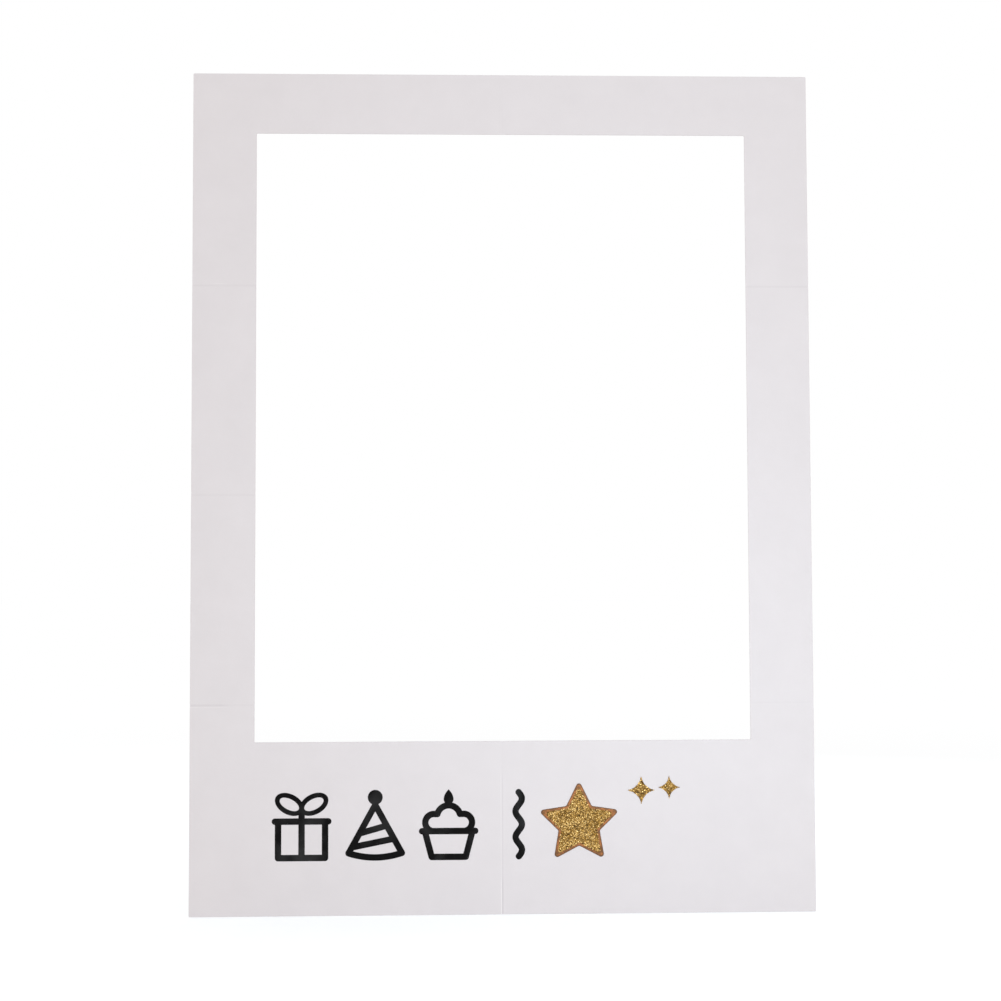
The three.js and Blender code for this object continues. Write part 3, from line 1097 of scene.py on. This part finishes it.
@dataclass
class GiftBox(FoilMotif):
    """A gift box with a lid, a ribbon and a bow of two loops."""

    lid_overhang: float = 3.0
    lid_share: float = 0.56
    bow_from_top: float = 13.0
    bow_radii: Point = (14.5, 9.5)
    bow_stroke: float = 4.6
    bow_from_middle: float = 11.5
    bow_lean: float = 28.0
    bow_steps: int = 64

    def bow_loop(self, side: int, height: float) -> Outline:
        """One loop of the bow.

        Args:
            side: -1 for the left loop, 1 for the right one.
            height: Height of the knot.

        Returns:
            The loop, a leaning oval ring.
        """
        lean = math.radians(self.bow_lean * side)
        turn = np.array([[math.cos(lean), math.sin(lean)], [-math.sin(lean), math.cos(lean)]])
        centre = np.array([side * self.bow_from_middle, height])
        rings = []
        for inset in (0.0, self.bow_stroke):
            radii = (self.bow_radii[0] - inset, self.bow_radii[1] - inset)
            rings.append(round_points((0, 0), radii, 0, 360, self.bow_steps)[:-1] @ turn + centre)
        return Outline(*rings)

    def outlines(self) -> list[Outline]:
        """The box, lid, ribbon and bow.

        Returns:
            Their outlines.
        """
        edge = self.stroke / 2
        half = self.width / 2 - edge
        body = half - self.lid_overhang
        lid = self.lid_share * self.height
        bow = self.height - self.bow_from_top
        found = [
            self.line((-body, edge), (body, edge)),
            self.line((-half, lid), (half, lid)),
            self.line((0, edge + self.end_short), (0, bow - self.stroke)),
        ]
        for side in (-1, 1):
            found.append(self.line((side * body, edge), (side * body, lid - self.end_short)))
            found.append(self.bow_loop(side, bow))
        return found


@dataclass
class PartyHat(FoilMotif):
    """A striped cone hat with a pompom and a curved brim."""

    pompom_radius: float = 7.0
    pompom_steps: int = 48
    brim_rise: float = 4.0
    stripes: Stops = ((0.13, 0.29), (0.42, 0.56))

    def outlines(self) -> list[Outline]:
        """The brim, sides, pompom and stripes.

        Returns:
            Their outlines.
        """
        edge = self.stroke / 2
        half = self.width / 2 - edge
        foot = edge + self.brim_rise
        peak = self.height - 2 * self.pompom_radius
        brim = bezier([(-half, foot), (0, edge - self.brim_rise), (half, foot)], CURVE_STEPS)
        middle, radii = (0, self.height - self.pompom_radius), (self.pompom_radius,) * 2
        found = [
            pen_stroke(brim, self.stroke),
            self.line((-half, foot), (0, peak)),
            self.line((half, foot), (0, peak)),
            Outline(round_points(middle, radii, 0, 360, self.pompom_steps)[:-1]),
        ]
        for shares in self.stripes:
            reach = [(1 - share) * half - self.end_short for share in shares]
            up = [foot + share * (peak - foot) for share in shares]
            found.append(self.line((-reach[0], up[0]), (reach[1], up[1])))
        return found


@dataclass
class Cupcake(FoilMotif):
    """A cupcake in its case, with three swirls of icing and a candle.

    Each swirl is part of a circle, from one angle to another in degrees.
    """

    rim_share: float = 0.41
    rim_overhang: float = 3.0
    case_taper: float = 6.0
    side_bump: float = 8.0
    top_bump: float = 11.0
    top_bump_rise: float = 5.0
    bump_from: float = 80.0
    bump_to: float = 250.0
    top_from: float = 15.0
    flame_share: float = 0.07
    flame_steps: int = 10

    def flame(self, half: float) -> Outline:
        """The candle flame: round below, drawn out to a point above.

        Args:
            half: Half its width.

        Returns:
            Its outline.
        """
        centre = self.height - 2 * half
        left = bezier([(0, self.height), (-half, centre + half), (-half, centre)], self.flame_steps)
        below = round_points((0, centre), (half, half), 180, 360, 2 * self.flame_steps)
        right = bezier([(half, centre), (half, centre + half), (0, self.height)], self.flame_steps)
        return Outline(np.vstack((left[:-1], below[:-1], right[:-1])))

    def outlines(self) -> list[Outline]:
        """The case, icing, candle and flame.

        Returns:
            Their outlines.
        """
        edge = self.stroke / 2
        half = self.width / 2 - edge
        rim = self.rim_share * self.height
        rim_half = half - self.rim_overhang
        base_half = rim_half - self.case_taper
        bump = rim + self.side_bump
        dome = bump + self.top_bump_rise
        flame_half = self.flame_share * self.height
        side, top = (self.side_bump,) * 2, (self.top_bump,) * 2
        middle, ends = (self.side_bump - rim_half, bump), (self.bump_from, self.bump_to)
        left_bump = round_points(middle, side, *ends, CURVE_STEPS)
        right_bump = left_bump * (-1, 1)
        top_bump = round_points((0, dome), top, self.top_from, 180 - self.top_from, CURVE_STEPS)
        return [
            self.line((-base_half, edge), (base_half, edge)),
            self.line((-base_half, edge), (-rim_half, rim - self.end_short)),
            self.line((base_half, edge), (rim_half, rim - self.end_short)),
            self.line((-half, rim), (half, rim)),
            self.line((0, dome + self.top_bump), (0, self.height - 3 * flame_half)),
            *(pen_stroke(path, self.stroke) for path in (left_bump, right_bump, top_bump)),
            self.flame(flame_half),
        ]


@dataclass
class Streamer(FoilMotif):
    """A curled paper streamer: a sine wave standing on its end."""

    waves: float = 2.5
    streamer_width: float = 12.0
    steps: int = 120

    def outlines(self) -> list[Outline]:
        """The single curling stroke.

        Returns:
            Its outline.
        """
        t = np.linspace(0, 1, self.steps + 1)
        swing = (self.streamer_width - self.stroke) / 2
        across = swing * np.sin(2 * math.pi * self.waves * t)
        up = self.stroke / 2 + t * (self.height - self.stroke)
        return [pen_stroke(np.column_stack((across, up)), self.stroke)]


@dataclass
class StarLayer(Printed):
    """One layer of the gold star, whose foil the stamp pressed dark along its border.

    The border fades out where it is fade times as wide. Its points are found again in the mesh by
    their place, rounded to decimals.
    """

    finish: Finish = COPPER_FOIL
    above_base_mm: float = 33.0
    points: int = 5
    radius: float = 41.0
    waist: float = 0.5
    tip_radius: float = 2.6
    inset: float = 0.0
    pressed_width: float = 0.55
    fade: float = 1.4
    decimals: int = 3

    def outline(self, inset: float) -> Outline:
        """The star, each side moved inwards by the same distance.

        Args:
            inset: That distance.

        Returns:
            The outline.
        """
        step = math.pi / self.points
        inner = self.radius * self.waist
        side = math.hypot(self.radius - inner * math.cos(step), inner * math.sin(step))
        from_centre = self.radius * inner * math.sin(step) / side
        scale = (from_centre - inset) / from_centre
        angles = math.pi / 2 + step * np.arange(2 * self.points)
        reach = np.tile((self.radius, inner), self.points) * scale
        corners = np.column_stack((reach * np.cos(angles), reach * np.sin(angles)))
        return Outline(rounded(corners, self.tip_radius * scale))

    def shape(self) -> BuiltMesh:
        """Draws the star as a flat mesh, with its pressed border marked.

        Returns:
            The flat mesh.
        """
        steps = (0.0, self.pressed_width, self.pressed_width * self.fade)
        rings = [self.outline(self.inset + step) for step in steps]
        bm = merged_shape(rings, self.shortest_mm)
        pressed = bm.verts.layers.float.new("pressed")
        free = {(round(x, self.decimals), round(y, self.decimals)) for x, y in rings[2].outer}
        for vert in bm.verts:
            place = (round(vert.co.x, self.decimals), round(vert.co.y, self.decimals))
            vert[pressed] = float(place not in free)
        return bm


@dataclass
class StarGlitter(StarLayer):
    """The glitter of the star, which leaves a rim of the foil under it bare."""

    finish: Finish = GLITTER_BINDER
    inset: float = 2.6
    thickness_mm: float = 0.12
    off_face_mm: float = StarLayer.thickness_mm
    flakes: FlakeScatter = FlakeScatter()
    seed: int = 11


@dataclass
class Sparkle(Printed):
    """A small four-pointed glitter sparkle with hollow sides."""

    thickness_mm: float = 0.2
    rounding_mm: float = 0.0
    flakes: FlakeScatter = FlakeScatter(cover=1.3)
    waist: float = 0.17
    side_steps: int = 14

    def origin_height(self) -> float:
        """The height of the middle of its node."""
        return sum(corner.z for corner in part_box(self.node)) / 2

    def shape(self) -> BuiltMesh:
        """Draws the sparkle as a flat mesh.

        Returns:
            The flat mesh.
        """
        low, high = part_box(self.node)
        radius = (high.x - low.x) / 2 / MM
        waist = self.waist * radius
        tips = [(0, radius), (-radius, 0), (0, -radius), (radius, 0)]
        hollows = [(-waist, waist), (-waist, -waist), (waist, -waist), (waist, waist)]
        curves = zip(tips, hollows, tips[1:] + tips[:1])
        sides = [bezier(curve, self.side_steps)[:-1] for curve in curves]
        return merged_shape([Outline(np.vstack(sides))], self.shortest_mm)


# The studio


@dataclass(frozen=True)
class Lamp:
    """One square soft lamp that faces the middle of the frame."""

    name: str
    place: Place
    size: float
    power: float
    colour: str = "#E1F3FF"
    aim: Place = (0.0, 0.0, 0.4)

    def build(self) -> None:
        """Makes the lamp."""
        data = bpy.data.lights.new(self.name, "AREA")
        data.shape = "SQUARE"
        data.size = self.size
        data.energy = self.power
        data.color = srgb(self.colour)[:3]
        lamp = bpy.data.objects.new(self.name, data)
        lamp.visible_camera = False
        bpy.context.scene.collection.objects.link(lamp)
        facing = (Vector(self.aim) - Vector(self.place)).to_track_quat("-Z", "Y")
        lamp.matrix_world = Matrix.Translation(self.place) @ facing.to_matrix().to_4x4()


@dataclass(frozen=True)
class Surround:
    """White to the eye all round, and a little less, and warmer, as light on the object."""

    strength: float = 0.79
    tint: str = "#FFF8F3"

    def light(self) -> Colour:
        """The light that it gives."""
        return (*(self.strength * part for part in srgb(self.tint)[:3]), 1.0)

    @staticmethod
    def seen_by_eye(tree: Tree) -> Socket:
        """1 where a ray comes from the camera, a gloss or a clear surface, and else 0.

        Args:
            tree: Node tree that gets the nodes.

        Returns:
            The output socket that holds the number.
        """
        path = add_node(tree, "ShaderNodeLightPath").outputs
        seen = path["Is Camera Ray"]
        for kind in ("Is Glossy Ray", "Is Transmission Ray"):
            either = add_node(tree, "ShaderNodeMath", {0: seen, 1: path[kind]}, operation="MAXIMUM")
            seen = either.outputs["Value"]
        return seen

    def build(self) -> None:
        """Makes it the world of the scene."""
        world = bpy.data.worlds.new("white_surround")
        world.use_nodes = True
        tree = world.node_tree
        tree.nodes.clear()
        values = {"Factor": self.seen_by_eye(tree), 6: self.light(), 7: srgb("#FFFFFF")}
        colour = add_node(tree, "ShaderNodeMix", values, data_type="RGBA").outputs[2]
        background = add_node(tree, "ShaderNodeBackground", {"Color": colour}).outputs[0]
        add_node(tree, "ShaderNodeOutputWorld", {"Surface": background})
        bpy.context.scene.world = world


@dataclass(frozen=True)
class PaleFloor(Finish):
    """Pale floor: white to the eye, but for the shadows that lie on it.

    Its glow makes up what the surround's light leaves short of white, and only the eye sees it. It
    is weaker near the frame, up to a distance in metres, so that the shadow of the lamps still shows.
    """

    surround: Surround
    shade: str = "#F4F3F3"
    near: float = 0.5
    far: float = 3.0
    near_white: float = 0.965

    def shader(self, tree: Tree) -> Node:
        """Builds matte paint with that glow.

        Args:
            tree: The node tree of the finish.

        Returns:
            The shader node.
        """
        shade = srgb(self.shade)
        lit = [part * given for part, given in zip(shade[:3], self.surround.light())]
        near, far = ((*(white - part for part in lit), 1.0) for white in (self.near_white, 1.0))
        place = add_node(tree, "ShaderNodeTexCoord").outputs["Object"]
        distance = add_node(tree, "ShaderNodeVectorMath", {0: place}, operation="LENGTH").outputs["Value"]
        values = {"Value": distance, "From Min": self.near, "From Max": self.far}
        reach = add_node(tree, "ShaderNodeMapRange", values, interpolation_type="SMOOTHSTEP")
        values = {"Factor": reach.outputs["Result"], 6: near, 7: far}
        colour = add_node(tree, "ShaderNodeMix", values, data_type="RGBA").outputs[2]
        values = {"Color": colour, "Strength": self.surround.seen_by_eye(tree)}
        glow = add_node(tree, "ShaderNodeEmission", values).outputs[0]
        matte = add_node(tree, "ShaderNodeBsdfDiffuse", {"Color": shade}).outputs[0]
        return add_node(tree, "ShaderNodeAddShader", {0: matte, 1: glow})


@dataclass
class Studio:
    """A plain pale floor, a white surround and soft lamps, with the camera in front."""

    camera_place: Place = (-0.05568, -1.66111, 0.3007)
    camera_forward: Place = (0.03218, 0.99806, 0.05334)
    camera_up: Place = (0.00175, -0.05342, 0.99857)
    focal_length_mm: float = 62.9
    sensor_mm: float = 36.0
    floor_size: float = 200.0
    floor_gap: float = 0.001
    surround: Surround = Surround()
    lamps: tuple[Lamp, ...] = (
        Lamp("low_front_lamp", (0.25, -0.8, 0.19), 0.36, 1.6),
        Lamp("high_front_lamp", (0.2, -1.0, 1.4), 0.6, 1.76),
        Lamp("behind_lamp", (0.5, 1.2, 1.0), 0.6, 3.2),
    )

    def camera(self) -> None:
        """Makes the camera and sets it as the scene's own."""
        data = bpy.data.cameras.new("camera")
        data.lens = self.focal_length_mm
        data.sensor_width = self.sensor_mm
        camera = bpy.data.objects.new("camera", data)
        bpy.context.scene.collection.objects.link(camera)
        forward, up = Vector(self.camera_forward).normalized(), Vector(self.camera_up).normalized()
        right = forward.cross(up).normalized()
        axes = Matrix((right, right.cross(forward), -forward)).transposed().to_4x4()
        camera.matrix_world = Matrix.Translation(self.camera_place) @ axes
        bpy.context.scene.camera = camera

    def floor(self) -> None:
        """Makes the floor, just under the frame."""
        half = self.floor_size / 2
        corners = ((-half, -half), (half, -half), (half, half), (-half, half))
        bm = bmesh.new()
        bm.faces.new([bm.verts.new((x, y, -self.floor_gap)) for x, y in corners])
        finished("floor", bm, [PaleFloor("matte_pale_paint", self.surround)])

    def build(self) -> None:
        """Makes the camera, lamps, surround and floor."""
        self.camera()
        for lamp in self.lamps:
            lamp.build()
        self.surround.build()
        self.floor()
        bpy.context.scene.view_settings.view_transform = "Standard"
        log.info("studio ready")


def main() -> None:
    """Builds the studio, the sheet and the motifs, in that order."""
    logging.basicConfig(level=logging.INFO, format="%(name)s: %(message)s")
    Studio().build()
    CardSheet().dress()
    for motif in (
        GiftBox("gift_box_motif", "bottom_left"),
        PartyHat("party_hat_motif", "bottom_left"),
        Cupcake("cupcake_motif", "bottom_left"),
        Streamer("streamer_motif"),
        StarLayer("star_rim", slot="copper_foil"),
        StarGlitter("star_glitter"),
        Sparkle("near_sparkle", seed=21),
        Sparkle("far_sparkle", seed=22),
    ):
        motif.dress()
    log.info("sizes written")


if __name__ == "__main__":
    main()
